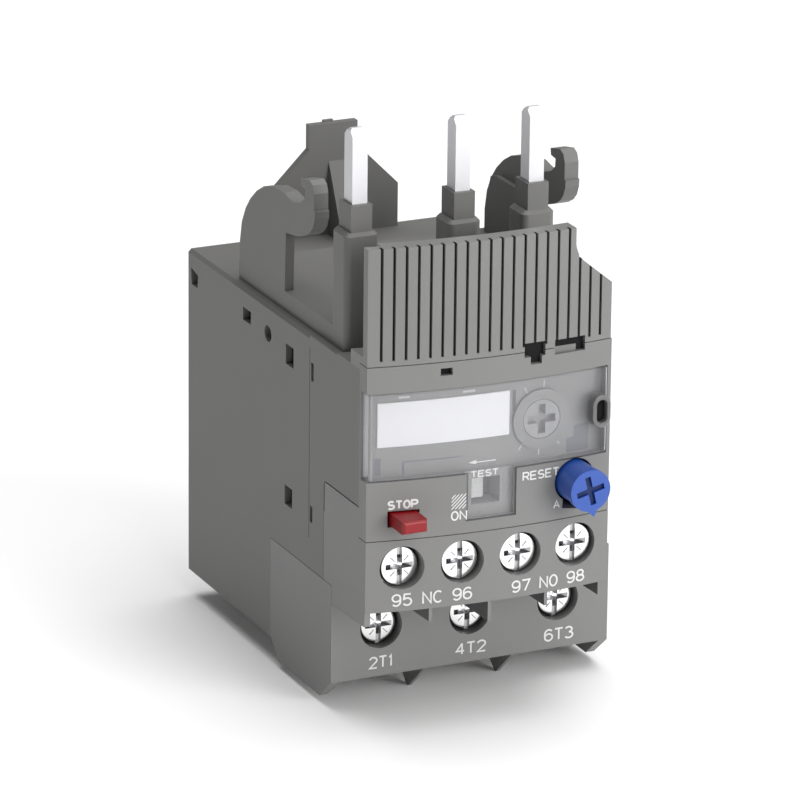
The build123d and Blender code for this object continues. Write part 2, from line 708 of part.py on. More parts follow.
with BuildPart() as moving_contacts:
    slab((aux_x[0] - 1.05, aux_x[1] + 1.0), bridge_d, (closed_h, closed_h + strip_gauge))
    slab((aux_x[2] - 0.9, aux_x[3] + 0.95), bridge_d, (open_h, open_h + strip_gauge))
save(moving_contacts, "moving_contacts")

for index, x in enumerate(aux_x):
    number = str(index + 1)
    face = front_at(x) - screw_depth
    save(screw(x, aux_h, face, aux_head_r, 1.9, 1.5, 9.5), "aux_screw_" + number)
    with BuildPart() as aux_clamp:
        slab((x - 2.9, x + 2.9), (face - 3.2, face - 2.0), (aux_h - 3.2, aux_h + 2.8))
        shaft(x, aux_h, 1.65, (face - 4, face), Mode.SUBTRACT)
    save(aux_clamp, "aux_clamp_" + number)

with BuildPart() as aux_fixed_contacts:
    for x, h in zip(aux_x, aux_strip_h):
        face = front_at(x) - screw_depth
        slab((x - 2.6, x + 2.6), (face - 6.5, face - 5.3), (aux_h - 3.4, aux_h + 2.8))
        slab((x - aux_strip, x + aux_strip), (lever_d[0], face - 6.5), (h, h + strip_gauge))
        shaft(x, aux_h, 1.55, (face - 7, face - 5), Mode.SUBTRACT)
save(aux_fixed_contacts, "aux_fixed_contacts")

# Controls
eyelet_x = step_width - 2.1
eyelet_h = 42.15
with BuildPart() as transparent_cover:
    curved_plate((0.25, recess_end - fit), (0, cover_thick), (cover_low, cover_high))
    curved_plate(tab_x, (0, cover_thick), (tab_low, cover_low))
    with BuildSketch(Plane.XZ.offset(-fy(front_at(eyelet_x) - cover_thick))) as eyelet:
        with Locations((fx(eyelet_x), fz(eyelet_h))):
            SlotOverall(4.9, 2.8, rotation=90)
    extrude(eyelet.sketch, amount=cover_thick + 1.3)
    with BuildSketch(Plane.XZ.offset(-fy(front_at(eyelet_x) - 2))) as eyelet_hole:
        with Locations((fx(eyelet_x), fz(eyelet_h))):
            SlotOverall(3.9, 1.8, rotation=90)
    extrude(eyelet_hole.sketch, amount=5, mode=Mode.SUBTRACT)
    with BuildSketch(Plane.XY.offset(fz(cover_low))) as knuckle:
        with Locations((fx(hinge_x), fy(hinge_d))):
            Circle(0.6)
    extrude(knuckle.sketch, amount=cover_high - cover_low)
    with BuildSketch(Plane.XY.offset(fz(cover_low))) as knuckle_hole:
        with Locations((fx(hinge_x), fy(hinge_d))):
            Circle(hinge_pin_r + 0.05)
    extrude(knuckle_hole.sketch, amount=cover_high - cover_low, mode=Mode.SUBTRACT)
save(transparent_cover, "transparent_cover")

with BuildPart() as cover_hinge_pin:
    with BuildSketch(Plane.XY.offset(fz(hinge_pin_h[0]))) as pin_end:
        with Locations((fx(hinge_x), fy(hinge_d))):
            Circle(hinge_pin_r)
    extrude(pin_end.sketch, amount=hinge_pin_h[1] - hinge_pin_h[0])
save(cover_hinge_pin, "cover_hinge_pin")

with BuildPart() as marking_label:
    curved_plate((2.3, dial_x - dial_ring_r - 0.6), (recess_inset - 0.25, recess_inset), (39.9, 46.55))
save(marking_label, "marking_label")

dial_face = front_at(dial_x, cover_thick + 0.4)
with BuildPart() as setting_dial:
    rod(dial_x, dial_h, dial_r, (face_seam - 1.4, dial_face))
    shaft(dial_x, dial_h, 1.55, (aux_back - 1.5, face_seam - 1.4))
    for long_x, long_h in ((2.2, 0.6), (0.6, 2.2)):
        slab(
            (dial_x - long_x, dial_x + long_x),
            (dial_face - 1.2, dial_face),
            (dial_h - long_h, dial_h + long_h),
            Mode.SUBTRACT,
        )
save(setting_dial, "setting_dial")

with BuildPart() as setting_cam:
    shaft(dial_x, dial_h + 0.7, 2.9, (aux_back - 1.3, aux_back + 0.7))
    shaft(dial_x, dial_h, 1.55 * cos(pi / 12), (aux_back - 1.3, aux_back + 0.7), Mode.SUBTRACT)
save(setting_cam, "setting_cam")

with BuildPart() as stop_button:
    slab(stop_x, (face_seam - 2.4, stop_face), stop_h)
    front_edges = stop_button.edges().group_by(Axis.Y)[0]
    fillet(front_edges, radius=0.45)
    shaft(sum(stop_x) / 2, sum(stop_h) / 2, 0.9, (plate_d[0] - 3.0, face_seam - 2.4))
save(stop_button, "stop_button")


def coil(base, r, wire, length, turns, name):
    # Compression spring from its fixed end along the base's normal.
    sides = 9
    turn = 2 * pi / sides
    rise = length / (sides * turns)
    points = [(r * cos(turn * i), r * sin(turn * i), rise * i) for i in range(sides * turns + 1)]
    with BuildPart() as spring:
        with BuildLine(base) as path:
            Polyline(*points)
        with BuildSketch(Plane(path.wire() @ 0, z_dir=path.wire() % 0)) as wire_end:
            RegularPolygon(wire, 4)
        sweep(wire_end.sketch, path=path.wire(), transition=Transition.RIGHT)
    save(spring, name)


spring_d = plate_d[1] + 0.3
stop_start = Plane((fx(sum(stop_x) / 2), fy(spring_d), fz(sum(stop_h) / 2)), z_dir=(0, -1, 0))
coil(stop_start, 1.35, 0.2, 2.7, 4, "stop_spring")

knob_face = overall_depth
with BuildPart() as reset_knob:
    rod(knob_x, knob_h, knob_r, (face_seam + 0.3, knob_face))
    rod(knob_x, knob_h, knob_r + 0.15, (knob_face - 1.3, knob_face))
    front_shape(
        ((knob_x - 0.6, knob_h - 2.9), (knob_x + 1.25, knob_h - 2.7), (knob_x + 0.6, knob_h - 4.05)),
        (knob_face - 1.3, knob_face),
    )
    shaft(knob_x, knob_h, 1.5, (face_seam, face_seam + 4.1), Mode.SUBTRACT)
    for turn in (14, 104):
        with BuildSketch(Plane.XZ.offset(-fy(knob_face - 1.1))) as slot:
            with Locations((fx(knob_x), fz(knob_h))):
                Rectangle(4.4, 0.9, rotation=turn)
        extrude(slot.sketch, amount=1.2, mode=Mode.SUBTRACT)
save(reset_knob, "reset_knob")

with BuildPart() as reset_plunger:
    shaft(knob_x, knob_h, 1.42, (plate_d[0] - 4.7, face_seam + 3.8))
    shaft(knob_x, knob_h, 2.4, (face_seam - 2.0, face_seam - 1.0))
save(reset_plunger, "reset_plunger")
reset_start = Plane((fx(knob_x), fy(spring_d), fz(knob_h)), z_dir=(0, -1, 0))
coil(reset_start, 1.95, 0.22, 3.1, 4, "reset_spring")

with BuildPart() as test_slider:
    slider_x = (window_x[0] + 0.25, window_x[0] + 2.15)
    slab(slider_x, (face_seam - 0.4, front_at(window_x[0]) - 2.0), (window_h[0] + 0.75, window_h[1] - 0.25))
    slab((slider_x[0] - 1.4, slider_x[1] + 1.4), (face_seam - 1.8, face_seam - 0.4), (29.8, 34.8))
save(test_slider, "test_slider")

with BuildPart() as trip_indicator:
    flag_d = (face_seam - 3.6, face_seam - 2.6)
    slab((window_x[0] - 0.5, window_x[1] - 0.2), flag_d, (30.4, 33.6))
    slab((window_x[0] + 1.0, window_x[0] + 2.2), (carrier_d[1], flag_d[0]), (30.4, 31.6))
save(trip_indicator, "trip_indicator")

snap_start = Plane((fx(snap_x), fy(sum(carrier_d) / 2), fz(spring_ledge[0] - 0.3)), z_dir=(0, 0, -1))
coil(snap_start, 1.2, 0.2, spring_ledge[0] - crossbar_h[1] - 0.6, 5, "snap_spring")
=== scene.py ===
import json
import math
import bmesh
import bpy
from mathutils import Matrix, Vector


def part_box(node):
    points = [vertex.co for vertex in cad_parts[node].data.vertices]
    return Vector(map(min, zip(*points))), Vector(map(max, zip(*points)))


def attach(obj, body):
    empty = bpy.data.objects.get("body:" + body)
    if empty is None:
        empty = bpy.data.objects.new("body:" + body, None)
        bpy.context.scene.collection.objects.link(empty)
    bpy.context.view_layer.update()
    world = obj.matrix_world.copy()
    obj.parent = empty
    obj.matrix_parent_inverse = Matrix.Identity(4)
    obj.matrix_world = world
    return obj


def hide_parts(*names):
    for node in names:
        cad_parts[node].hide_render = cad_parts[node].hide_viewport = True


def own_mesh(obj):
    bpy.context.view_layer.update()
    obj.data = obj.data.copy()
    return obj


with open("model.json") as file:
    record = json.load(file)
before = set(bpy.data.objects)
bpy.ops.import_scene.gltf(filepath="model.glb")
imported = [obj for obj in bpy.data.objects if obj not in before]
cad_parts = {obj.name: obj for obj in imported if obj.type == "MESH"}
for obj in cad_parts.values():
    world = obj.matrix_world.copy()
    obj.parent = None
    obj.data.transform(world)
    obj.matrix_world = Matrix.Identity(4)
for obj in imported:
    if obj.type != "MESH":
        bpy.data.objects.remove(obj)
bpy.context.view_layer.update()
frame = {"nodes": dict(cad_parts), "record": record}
print("frame loaded:", len(frame["nodes"]), "nodes")

mm = 0.001
body = {  # where the case stands in the frame and how its front curves, in mm
    "width": 45.0,
    "depth": 72.1,
    "footDrop": 4.1,
    "frontRadius": 106.5,
    "frontMid": 67.27,
    "coverFloor": 2.0,  # floor under the see-through cover, behind the curved front
}


def place(x, depth, height):  # x from the left side, depth from the rear face, height above the case floor
    return Vector((
        (x - body["width"] / 2) * mm,
        (body["depth"] / 2 - depth) * mm,
        (height + body["footDrop"]) * mm,
    ))


def frontDepth(x, inset=0.0):  # depth of the curved front at x, set back by inset
    reach = (body["frontRadius"] - inset) ** 2 - (x - body["width"] / 2) ** 2
    return body["frontMid"] - body["frontRadius"] + math.sqrt(reach)


def foremost(node):  # depth of a node's foremost point
    return body["depth"] / 2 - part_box(node)[0][1] / mm


def linked(name, data):  # new object in the scene
    made = bpy.data.objects.new(name, data)
    bpy.context.scene.collection.objects.link(made)
    return made


def addMesh(name, mesh, material, rides):  # visible piece on one body
    piece = linked(name, mesh)
    mesh.materials.append(material)
    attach(piece, rides)


def meshOf(name, work):  # mesh of a finished bmesh
    mesh = bpy.data.meshes.new(name)
    work.to_mesh(mesh)
    work.free()
    return mesh


def plate(name, corners):  # mesh of one flat face
    mesh = bpy.data.meshes.new(name)
    mesh.from_pydata(corners, [], [range(len(corners))])
    return mesh


def rectangle(left, right, low, high):
    return [(left, low), (right, low), (right, high), (left, high)]


def ray(turn):  # unit vector at a turn in degrees
    return Vector((math.cos(math.radians(turn)), math.sin(math.radians(turn))))


def bow(middleX, middleY, reachX, reachY, start, end, steps=16):  # part of an ellipse, in degrees
    turns = [math.radians(start + (end - start) * step / steps) for step in range(steps + 1)]
    return [(middleX + reachX * math.cos(turn), middleY + reachY * math.sin(turn)) for turn in turns]


# Finishes

texture = {  # cloud is the uneven colour, grain the fine relief with its depth in metres
    "cloudDetail": 3.0,
    "cloudDark": 0.3,
    "cloudLight": 0.7,
    "plasticCloud": 60,
    "metalCloud": 180,
    "coverCloud": 40,
    "floorCloud": 2,
    "grainDetail": 4.0,
    "plasticDepth": 0.00003,
    "metalDepth": 0.00002,
}


def newMaterial(name):
    made = bpy.data.materials.new(name)
    made.use_nodes = True
    nodes, links = made.node_tree.nodes, made.node_tree.links
    return made, nodes, links, nodes["Principled BSDF"]


def mottle(nodes, links, shader, colour, spread, scale):
    # a little uneven colour, darker and lighter by spread
    coords = nodes.new("ShaderNodeTexCoord")
    cloud = nodes.new("ShaderNodeTexNoise")
    cloud.inputs["Scale"].default_value = scale
    cloud.inputs["Detail"].default_value = texture["cloudDetail"]
    ramp = nodes.new("ShaderNodeValToRGB")
    dark, light = ramp.color_ramp.elements
    dark.position = texture["cloudDark"]
    light.position = texture["cloudLight"]
    dark.color = [c * (1 - spread) for c in colour] + [1]
    light.color = [min(1, c * (1 + spread)) for c in colour] + [1]
    links.new(coords.outputs["Object"], cloud.inputs["Vector"])
    links.new(cloud.outputs["Fac"], ramp.inputs["Fac"])
    links.new(ramp.outputs["Color"], shader.inputs["Base Color"])
    return coords


def grain(nodes, links, shader, coords, scale, strength, distance, stretch=None):
    # fine relief; stretch lengthens it along an axis for rolled metal
    noise = nodes.new("ShaderNodeTexNoise")
    noise.inputs["Scale"].default_value = scale
    noise.inputs["Detail"].default_value = texture["grainDetail"]
    if stretch:
        mapping = nodes.new("ShaderNodeMapping")
        mapping.inputs["Scale"].default_value = stretch
        links.new(coords.outputs["Object"], mapping.inputs["Vector"])
        links.new(mapping.outputs["Vector"], noise.inputs["Vector"])
    else:
        links.new(coords.outputs["Object"], noise.inputs["Vector"])
    bump = nodes.new("ShaderNodeBump")
    bump.inputs["Strength"].default_value = strength
    bump.inputs["Distance"].default_value = distance
    links.new(noise.outputs["Fac"], bump.inputs["Height"])
    links.new(bump.outputs["Normal"], shader.inputs["Normal"])


def mouldedPlastic(name, colour, rough, spread=0.02, grainSize=2600, relief=0.18, specular=0.4):
    made, nodes, links, shader = newMaterial(name)
    shader.inputs["Roughness"].default_value = rough
    shader.inputs["Specular IOR Level"].default_value = specular
    coords = mottle(nodes, links, shader, colour, spread, texture["plasticCloud"])
    grain(nodes, links, shader, coords, grainSize, relief, texture["plasticDepth"])
    return made


def metal(name, colour, rough, spread=0.05, grainSize=900, relief=0.15, stretch=None, metallic=1.0):
    made, nodes, links, shader = newMaterial(name)
    shader.inputs["Metallic"].default_value = metallic
    shader.inputs["Roughness"].default_value = rough
    coords = mottle(nodes, links, shader, colour, spread, texture["metalCloud"])
    grain(nodes, links, shader, coords, grainSize, relief, texture["metalDepth"], stretch)
    return made


def clearPlastic(name, colour, rough, veil, specular, ior, spread):
    made, nodes, links, shader = newMaterial(name)
    shader.inputs["Roughness"].default_value = rough
    shader.inputs["Alpha"].default_value = veil
    shader.inputs["Specular IOR Level"].default_value = specular
    shader.inputs["IOR"].default_value = ior
    mottle(nodes, links, shader, colour, spread, texture["coverCloud"])
    return made


colours = {  # red, green and blue, linear
    "caseGrey": (0.146, 0.145, 0.141),
    "frontGrey": (0.186, 0.185, 0.182),
    "clearCover": (0.68, 0.685, 0.71),
    "pinSilver": (0.65, 0.65, 0.67),
    "screwSteel": (0.9, 0.9, 0.9),
    "screwRim": (0.06, 0.06, 0.062),
    "screwCross": (0.45, 0.45, 0.46),
    "stopRed": (0.24, 0.004, 0.008),
    "resetBlue": (0.012, 0.07, 0.36),
    "knobCrossBlue": (0.004, 0.018, 0.1),
    "sliderWhite": (0.46, 0.46, 0.46),
    "dialGrey": (0.25, 0.25, 0.255),
    "labelWhite": (0.7, 0.7, 0.72),
    "printWhite": (0.66, 0.66, 0.66),
    "recessDark": (0.011, 0.011, 0.012),
    "coverShade": (0.1, 0.1, 0.122),
    "coverDark": (0.05, 0.05, 0.055),
    "coverLight": (0.42, 0.42, 0.43),
    "ribShade": (0.085, 0.085, 0.086),
    "sealEye": (0.14, 0.14, 0.14),
    "brass": (0.62, 0.5, 0.28),
    "bimetal": (0.55, 0.52, 0.47),
    "heaterWire": (0.33, 0.3, 0.28),
    "ceramic": (0.6, 0.55, 0.47),
    "springSteel": (0.6, 0.6, 0.6),
    "mechanismBlack": (0.02, 0.02, 0.021),
}
materials = {  # one for each material slot of the solids
    "housing_grey": mouldedPlastic("caseGreyPlastic", colours["caseGrey"], rough=0.5),
    "front_grey": mouldedPlastic("frontGreyPlastic", colours["frontGrey"], rough=0.46),
    "clear_cover": clearPlastic("clearCoverPlastic", colours["clearCover"],
                                rough=0.2, veil=0.11, specular=0.3, ior=1.5, spread=0.03),
    "plated_copper": metal("tinPlate", colours["pinSilver"],
                           rough=0.42, spread=0.03, grainSize=700, relief=0.1,
                           stretch=(1, 1, 0.08), metallic=0.35),
    "bright_steel": metal("brightScrewSteel", colours["screwSteel"],
                          rough=0.2, spread=0.03, grainSize=1200, relief=0.06),
    "red_plastic": mouldedPlastic("stopRedPlastic", colours["stopRed"],
                                  rough=0.34, spread=0.04, grainSize=1800, relief=0.1),
    "blue_plastic": mouldedPlastic("resetBluePlastic", colours["resetBlue"],
                                   rough=0.28, spread=0.04, grainSize=1800, relief=0.1, specular=0.7),
    "white_plastic": mouldedPlastic("sliderWhitePlastic", colours["sliderWhite"], rough=0.5),
    "dial_grey": mouldedPlastic("dialGreyPlastic", colours["dialGrey"], rough=0.45),
    "label_white": mouldedPlastic("labelFilm", colours["labelWhite"],
                                  rough=0.6, spread=0.01, grainSize=4000, relief=0.05, specular=0.3),
    "terminal_brass": metal("terminalBrass", colours["brass"], rough=0.35, spread=0.08),
    "bimetal": metal("bimetalStrip", colours["bimetal"],
                     rough=0.4, spread=0.06, grainSize=600, relief=0.2, stretch=(1, 1, 0.05)),
    "heater_wire": metal("heaterWire", colours["heaterWire"], rough=0.5, spread=0.1),
    "insulator": mouldedPlastic("insulatorCeramic", colours["ceramic"],
                                rough=0.7, spread=0.05, grainSize=900, relief=0.4, specular=0.2),
    "spring_steel": metal("springSteel", colours["springSteel"], rough=0.25),
    "mechanism_black": mouldedPlastic("mechanismBlackPlastic", colours["mechanismBlack"],
                                      rough=0.45, spread=0.1),
}
printWhite = mouldedPlastic("printWhite", colours["printWhite"],
                            rough=0.55, grainSize=3000, relief=0.05, specular=0.3)
# near-black painted shade for the dark floors of slots, notches, holes, slits and the sealing eye's middle
recessDark = mouldedPlastic("recessDark", colours["recessDark"],
                            rough=0.7, spread=0.1, grainSize=3000, relief=0.1, specular=0.1)
# near-black steel as painted shade on the screws' rims, sides and undersides; it also colours the fine rays
shadeRimAndRaySteel = metal("darkRimSteel", colours["screwRim"], rough=0.3, spread=0.1, grainSize=1200, relief=0.06)
# darker copy of the screw steel as painted shade in the cross recesses and through slots
crossShadeSteel = metal("crossRecessSteel", colours["screwCross"],
                   rough=0.24, spread=0.15, grainSize=1500, relief=0.2)
# darker blue as painted shade on the floor of the knob's cross
knobCrossBlue = mouldedPlastic("knobCrossBlue", colours["knobCrossBlue"],
                               rough=0.5, spread=0.04, grainSize=1800, relief=0.1, specular=0.3)
sealEyeGrey = mouldedPlastic("sealEyeGrey", colours["sealEye"], rough=0.3)
# dark grey as painted shade on the rib faces under the block's overhang
ribShadeGrey = mouldedPlastic("ribShadeGrey", colours["ribShade"], rough=0.5)
underCover = {  # moulded marks, painted shade and painted light seen through the clear cover
    "shade": mouldedPlastic("underCoverShade", colours["coverShade"], rough=0.5),
    "dark": mouldedPlastic("underCoverDark", colours["coverDark"], rough=0.5),
    "light": mouldedPlastic("underCoverLight", colours["coverLight"], rough=0.5),
}

lookAlso = {"terminal_block": "front_grey", "cover_hinge_pin": "front_grey"}  # finish unlike its slot's; the terminal block's lighter grey is painted light against the shade under the overhang
sharpFrom = {"usual": 28, "top_cover": 44, "screws": 35}  # edges this sharp stay sharp, in degrees
slotOf = {row["node"]: row["material_slot"] for row in frame["record"]["subparts"]}
for name, node in frame["nodes"].items():
    look = materials[lookAlso.get(name, slotOf[name])]
    for holder in node.material_slots:
        holder.material = look
    if not node.material_slots:
        node.data.materials.append(look)
    for face in node.data.polygons:
        face.use_smooth = True
    node.data.set_sharp_from_angle(angle=math.radians(sharpFrom.get(name, sharpFrom["usual"])))
print("finishes on", len(slotOf), "nodes")

softEdge = {"segments": 3, "sharperThan": 40}
edgeWidths = {  # softened edge of each moulding, in mm
    "rear_housing": 0.15, "side_panel_left": 0.12, "side_panel_right": 0.12, "side_door_left": 0.1,
    "terminal_block": 0.15, "front_housing": 0.12, "aux_block": 0.15, "control_panel": 0.12,
    "top_cover": 0.25, "latch_plate": 0.15, "pin_sleeve_1": 0.3, "pin_sleeve_2": 0.3, "pin_sleeve_3": 0.3,
    "contact_pin_1": 0.12, "contact_pin_2": 0.12, "contact_pin_3": 0.12,
    "setting_dial": 0.1, "grille_cover": 0.08,
}
for name, width in edgeWidths.items():
    soft = frame["nodes"][name].modifiers.new("softEdge", "BEVEL")
    soft.width = width * mm
    soft.segments = softEdge["segments"]
    soft.limit_method = "ANGLE"
    soft.angle_limit = math.radians(softEdge["sharperThan"])
    soft.use_clamp_overlap = True
    soft.harden_normals = False
print("edges softened on", len(edgeWidths), "nodes")

# Printing

six = [bow(0.52, 0.62, 0.52, 0.38, 40, 180, 12) + [(0, 0.31)], bow(0.5, 0.31, 0.5, 0.31, 0, 360, 24)]
stemAndBowl = [(0, 0), (0, 1)] + bow(0.6, 0.73, 0.4, 0.27, 90, -90, 10) + [(0, 0.46)]
strokes = {  # single strokes of each sign in a box of 1 by 1
    "1": [[(0.1, 0.78), (0.6, 1), (0.6, 0)]],
    "2": [bow(0.5, 0.72, 0.5, 0.28, 165, -25) + [(0, 0), (1, 0)]],
    "3": [bow(0.45, 0.76, 0.45, 0.24, 150, -85), bow(0.48, 0.27, 0.52, 0.27, 88, -150)],
    "4": [[(0.72, 0), (0.72, 1)], [(0.72, 1), (0, 0.3), (1, 0.3)]],
    "5": [[(0.92, 1), (0.14, 1), (0.06, 0.56)] + bow(0.48, 0.32, 0.52, 0.32, 120, -150)],
    "6": six,
    "7": [[(0, 1), (1, 1), (0.35, 0)]],
    "8": [bow(0.5, 0.76, 0.42, 0.24, 0, 360, 24), bow(0.5, 0.27, 0.5, 0.27, 0, 360, 24)],
    "9": [[(1 - x, 1 - y) for x, y in line] for line in six],
    "A": [[(0, 0), (0.5, 1), (1, 0)], [(0.18, 0.33), (0.82, 0.33)]],
    "C": [bow(0.55, 0.5, 0.55, 0.5, 48, 312)],
    "E": [[(1, 1), (0, 1), (0, 0), (1, 0)], [(0, 0.52), (0.86, 0.52)]],
    "N": [[(0, 0), (0, 1), (1, 0), (1, 1)]],
    "O": [bow(0.5, 0.5, 0.5, 0.5, 0, 360, 28)],
    "P": [stemAndBowl],
    "R": [stemAndBowl, [(0.55, 0.46), (1, 0)]],
    "S": [bow(0.5, 0.75, 0.45, 0.25, 30, 262) + bow(0.5, 0.26, 0.5, 0.26, 82, -150)],
    "T": [[(0, 1), (1, 1)], [(0.5, 1), (0.5, 0)]],
}
lettering = {"gap": 0.36, "space": 0.75, "narrow": {"1": 0.5}}  # as shares of a sign's width
ink = {"proud": 0.03, "layer": 0.004, "thinProud": 0.02, "curveStep": 1.0}  # lifts and steps in mm
mitre = {"closedWithin": 1e-4, "leastCos": 0.5}  # ends this near close a stroke; limit for sharp corners


def ribbon(work, points, width, toPlace):
    # flat stroke along points, with its corners mitred
    closed = (Vector(points[0]) - Vector(points[-1])).length < mitre["closedWithin"]
    line = [Vector(point) for point in (points[:-1] if closed else points)]
    pairs = []
    for i, point in enumerate(line):
        before = line[i - 1] if i or closed else None
        after = line[(i + 1) % len(line)] if i < len(line) - 1 or closed else None
        steps = [(point - before).normalized()] if before is not None else []
        steps += [(after - point).normalized()] if after is not None else []
        along = sum(steps, Vector((0, 0))).normalized()
        stretch = 1 / max(mitre["leastCos"], along.dot(steps[0]))
        across = Vector((-along.y, along.x)) * width / 2 * stretch
        pairs.append([work.verts.new(toPlace(*spot)) for spot in (point + across, point - across)])
    for i in range(len(pairs) if closed else len(pairs) - 1):
        first, second = pairs[i], pairs[(i + 1) % len(pairs)]
        work.faces.new([first[0], first[1], second[1], second[0]])


def signs(name, text, box, width, toPlace):
    # strokes fitted to the box in mm that the real print fills
    left, right, low, high = box
    gap, space = lettering["gap"], lettering["space"]
    widths = [space if sign == " " else lettering["narrow"].get(sign, 1) for sign in text]
    unit = (right - left - width) / (sum(widths) + gap * (len(text) - 1))
    tall = high - low - width
    work = bmesh.new()
    start = left + width / 2
    for sign, share in zip(text, widths):
        for layer, line in enumerate(strokes.get(sign, [])):  # crossing strokes lie a hair apart
            lift = Vector((0, -ink["layer"] * mm * layer, 0))
            spots = [(start + x * unit * share, low + width / 2 + y * tall) for x, y in line]
            ribbon(work, spots, width, lambda x, h: toPlace(x, h) + lift)
        start += unit * (share + gap)
    addMesh(name, meshOf(name, work), printWhite, "case")


def onFront(inset=0.0, proud=ink["proud"]):
    return lambda x, h: place(x, frontDepth(x, inset) + proud, h)


def onPlane(depth):
    return lambda x, h: place(x, depth + ink["proud"], h)


def flatShape(name, outline, inset, material):
    # outline in x and height, cut along x so that it follows the curved front
    work = bmesh.new()
    work.faces.new([work.verts.new((x, h, 0)) for x, h in outline])
    left, right = min(x for x, h in outline), max(x for x, h in outline)
    cut = left + ink["curveStep"]
    while cut < right:
        bmesh.ops.bisect_plane(work, geom=work.verts[:] + work.edges[:] + work.faces[:],
                               plane_co=(cut, 0, 0), plane_no=(1, 0, 0))
        cut += ink["curveStep"]
    toPlace = onFront(inset)
    for v in work.verts:
        v.co = toPlace(v.co.x, v.co.y)
    addMesh(name, meshOf(name, work), material, "case")


controlWords = {  # text, stroke width and its left, right, low and high in mm on the curved front
    "stopWord": ("STOP", 0.3, (3.05, 7.62, 31.02, 32.42)),
    "onWord": ("ON", 0.24, (12.5, 15.0, 28.45, 29.95)),
    "resetWord": ("RESET", 0.22, (23.6, 29.6, 33.1, 34.48)),
    "handMark": ("A", 0.2, (28.7, 29.8, 28.1, 29.4)),
    "contact95": ("95 NC 96", 0.26, (3.8, 15.95, 16.15, 18.1)),
    "contact97": ("97 NO 98", 0.26, (22.15, 34.2, 16.1, 18.0)),
}
for name, (text, width, box) in controlWords.items():
    signs(name, text, box, width, onFront())

poleStroke = 0.27
poleNumbers = {  # on the terminal block's flat front
    "terminal2T1": ("2T1", (6.05, 10.0, 1.65, 3.58)),
    "terminal4T2": ("4T2", (20.08, 25.05, 1.65, 3.6)),
    "terminal6T3": ("6T3", (34.55, 39.42, 1.58, 3.56)),
}
for name, (text, box) in poleNumbers.items():
    signs(name, text, box, poleStroke, onPlane(foremost("terminal_block")))

testMark = {"box": (16.0, 20.4, 34.17, 35.24), "stroke": 0.21, "inset": 1.25}  # under the cover's tab
signs("testWord", "TEST", testMark["box"], testMark["stroke"], onFront(testMark["inset"]))

hatch = {"left": 12.6, "right": 14.8, "low": 30.2, "high": 32.4, "lines": 4, "stroke": 0.15}
left, right, low, high = hatch["left"], hatch["right"], hatch["low"], hatch["high"]
span = right - left
work = bmesh.new()
for step in range(1, 2 * hatch["lines"]):
    shift = step * span / hatch["lines"]
    start = (max(left, left + shift - span), max(low, high - shift))
    end = (min(right, left + shift), min(high, high + span - shift))
    ribbon(work, [start, end], hatch["stroke"], onFront(proud=ink["thinProud"]))
addMesh("onHatch", meshOf("onHatch", work), printWhite, "case")

arrow = {"tip": (16.0, 36.25), "headEnd": 17.2, "head": (35.95, 36.6), "shaft": (36.15, 36.3), "end": 20.3}
(headLow, headHigh), (shaftLow, shaftHigh) = arrow["head"], arrow["shaft"]
arrowOutline = [
    arrow["tip"], (arrow["headEnd"], headHigh), (arrow["headEnd"], shaftHigh), (arrow["end"], shaftHigh),
    (arrow["end"], shaftLow), (arrow["headEnd"], shaftLow), (arrow["headEnd"], headLow),
]
flatShape("testArrow", arrowOutline, body["coverFloor"], printWhite)

dialMarks = {"x": 27.3, "height": 41.6, "inner": 4.65, "outer": 5.6, "stroke": 0.18,
             "turns": (118, 84, 232, 268, 306)}
middle = Vector((dialMarks["x"], dialMarks["height"]))
work = bmesh.new()
for turn in dialMarks["turns"]:
    ends = [tuple(middle + ray(turn) * reach) for reach in (dialMarks["inner"], dialMarks["outer"])]
    ribbon(work, ends, dialMarks["stroke"], onFront(body["coverFloor"]))
addMesh("dialMarks", meshOf("dialMarks", work), underCover["light"], "case")
print("printing done")

# Marks, painted shade and painted light under the cover, and a line of painted shade in the gap around it

coverMarks = {  # tone, and outline in x and height on the floor under the cover
    "endLight": ("light", rectangle(0.35, 1.1, 35.6, 48.2)),
    "endShade": ("shade", rectangle(1.1, 1.5, 35.6, 48.2)),
    "clipMark": ("dark", [(22.75, 43.2), (23.3, 43.1), (23.3, 46.4), (22.75, 46.5)]),
    "upperShade": ("shade", rectangle(32.9, 35.5, 37.8, 39.6)),
    "lowerShade": ("shade", rectangle(31.7, 35.5, 35.6, 37.8)),
    "stepLine": ("shade", [(6.0, 35.6), (6.3, 35.6), (6.3, 37.3), (14.9, 37.3), (14.9, 37.5), (6.0, 37.5)]),
    "topDashLeft": ("light", rectangle(5.4, 7.1, 47.05, 47.35)),
    "topDashRight": ("light", rectangle(15.0, 16.9, 47.0, 47.3)),
    "cornerShade": ("shade", rectangle(1.9, 2.9, 35.7, 38.2)),
}
for name, (tone, outline) in coverMarks.items():
    flatShape(name, outline, body["coverFloor"], underCover[tone])
# light strip as painted light over the shaded end wall of the recess, at the cover's right end
coverEnd = {"left": 37.27, "right": 37.45, "low": 35.6, "high": 48.25, "inset": 0.15}
endOutline = rectangle(coverEnd["left"], coverEnd["right"], coverEnd["low"], coverEnd["high"])
flatShape("coverEndStrip", endOutline, coverEnd["inset"], underCover["light"])

